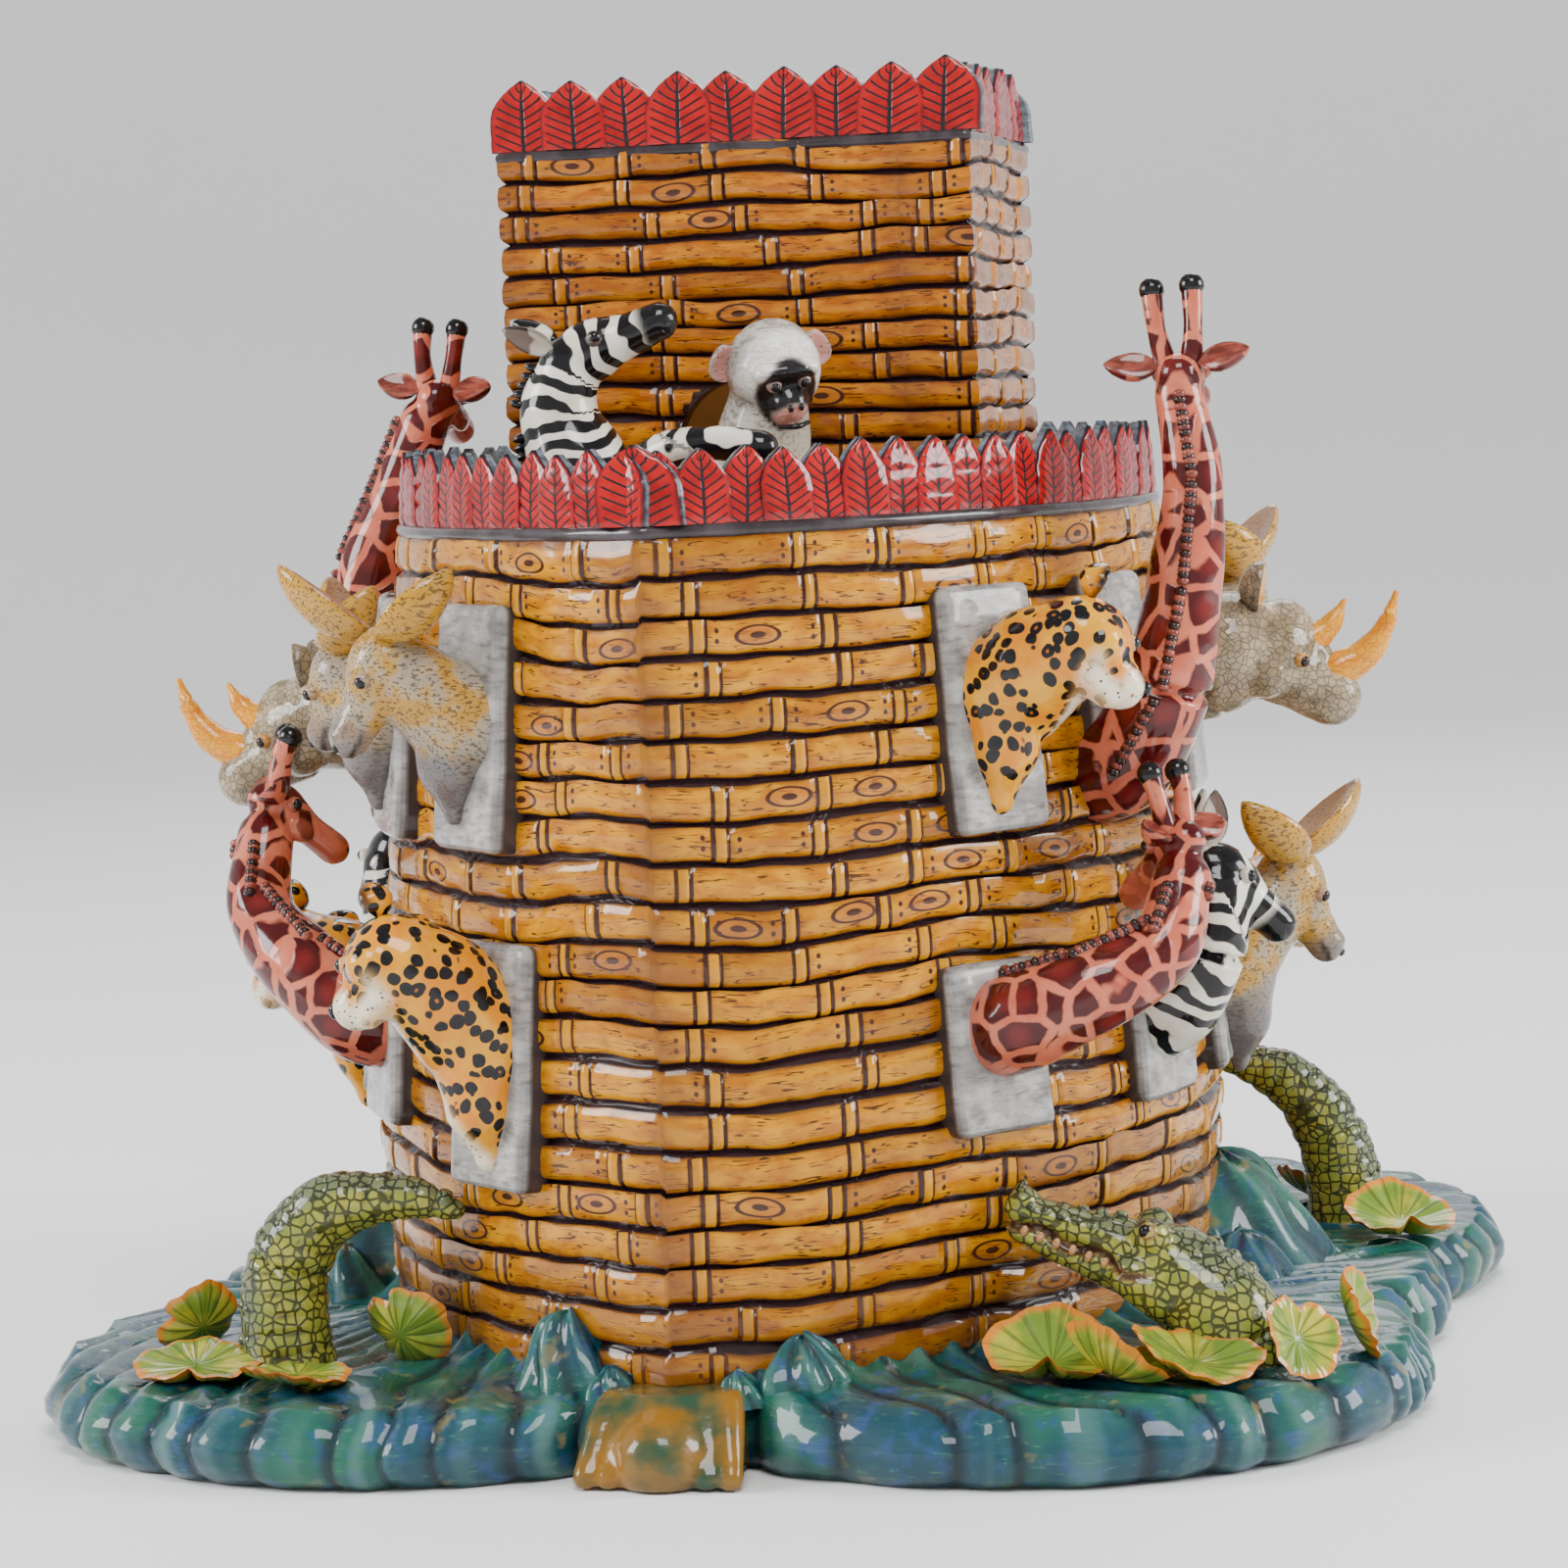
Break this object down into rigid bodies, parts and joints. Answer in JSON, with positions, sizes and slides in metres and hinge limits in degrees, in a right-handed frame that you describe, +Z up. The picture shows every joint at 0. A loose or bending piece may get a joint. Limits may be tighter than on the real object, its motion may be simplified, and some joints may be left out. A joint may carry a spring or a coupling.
{
  "type": "ceramic ark sculpture",
  "caption": "Hand-built glazed ceramic ark on a slab of water: planked pointed-oval hull, windows with wild animals leaning out, lift-off deck with a square cabin.",
  "frame": {"origin": "on the underside of the water slab, below the middle of the hull", "axes": "+Z up, +Y along the hull from bow to stern, +X to starboard"},
  "size_m": [0.426, 0.446, 0.403],
  "materials": {
    "water_glaze": "high-gloss transparent glaze over mottled blue-green underglaze",
    "keel_glaze": "high-gloss glaze over yellow-brown and green underglaze",
    "timber_glaze": "high-gloss glaze over hand-painted golden planks with dark grooves",
    "deck_glaze": "high-gloss glaze over plain amber-brown underglaze",
    "band_glaze": "high-gloss charcoal glaze",
    "leaf_glaze": "high-gloss red glaze with black veins and edges",
    "frame_glaze": "gloss grey-white glaze with dark edges",
    "leopard_glaze": "gloss glaze over yellow with black rosettes",
    "giraffe_glaze": "gloss glaze over pink with maroon patches",
    "rhino_glaze": "gloss glaze over grey-brown wrinkled hide, amber horns",
    "antelope_glaze": "gloss glaze over yellow-brown and grey hide",
    "zebra_glaze": "gloss glaze over cream with black stripes",
    "crocodile_glaze": "gloss glaze over yellow-green scales with black outlines",
    "lily_glaze": "gloss glaze over green leaves with orange rims",
    "monkey_glaze": "gloss glaze over grey-white fur, black face"
  },
  "bodies": {
    "ark": {"antelope_port_lower_5": "antelope_glaze", "antelope_port_upper_1": "antelope_glaze", "antelope_starboard_lower_3": "antelope_glaze", "antelope_starboard_upper_4": "antelope_glaze", "bowed_giraffe_port_upper_4": "giraffe_glaze", "crocodile_head_aft": "crocodile_glaze", "crocodile_head_fore": "crocodile_glaze", "crocodile_tail_aft": "crocodile_glaze", "crocodile_tail_fore": "crocodile_glaze", "curled_giraffe_port_lower_2": "giraffe_glaze", "curled_giraffe_starboard_lower_1": "giraffe_glaze", "deck_ledge": "timber_glaze", "hull_shell": "timber_glaze", "keel_aft": "keel_glaze", "keel_fore": "keel_glaze", "leopard_port_lower_1": "leopard_glaze", "leopard_port_lower_3": "leopard_glaze", "leopard_port_upper_5": "leopard_glaze", "leopard_starboard_lower_4": "leopard_glaze", "leopard_starboard_upper_1": "leopard_glaze", "leopard_starboard_upper_5": "leopard_glaze", "lily_pads_aft_port": "lily_glaze", "lily_pads_aft_starboard": "lily_glaze", "lily_pads_fore_port": "lily_glaze", "lily_pads_fore_starboard": "lily_glaze", "prow_leaf": "leaf_glaze", "rhino_port_upper_3": "rhino_glaze", "rhino_starboard_lower_5": "rhino_glaze", "rhino_starboard_upper_3": "rhino_glaze", "rim_band": "band_glaze", "rim_leaves_port": "leaf_glaze", "rim_leaves_starboard": "leaf_glaze", "splash_crests_aft": "water_glaze", "splash_crests_fore": "water_glaze", "stern_leaf": "leaf_glaze", "tall_giraffe_starboard_upper_2": "giraffe_glaze", "tucked_antelope_port_upper_2": "antelope_glaze", "water_base": "water_glaze", "wave_port": "water_glaze", "wave_starboard": "water_glaze", "window_frames_port_lower": "frame_glaze", "window_frames_port_upper": "frame_glaze", "window_frames_starboard_lower": "frame_glaze", "window_frames_starboard_upper": "frame_glaze", "zebra_port_lower_4": "zebra_glaze", "zebra_starboard_lower_2": "zebra_glaze"},
    "deck_lid": {"cabin_band": "band_glaze", "cabin_leaves_aft": "leaf_glaze", "cabin_leaves_fore": "leaf_glaze", "cabin_leaves_port": "leaf_glaze", "cabin_leaves_starboard": "leaf_glaze", "cabin_walls": "timber_glaze", "deck": "deck_glaze", "deck_zebra": "zebra_glaze", "monkey": "monkey_glaze"}
  },
  "joints": [
    {"name": "lid_lift", "type": "slide", "parent": "ark", "child": "deck_lid", "axis": [0, 0, 1], "range_m": [0, 0.1]}
  ]
}
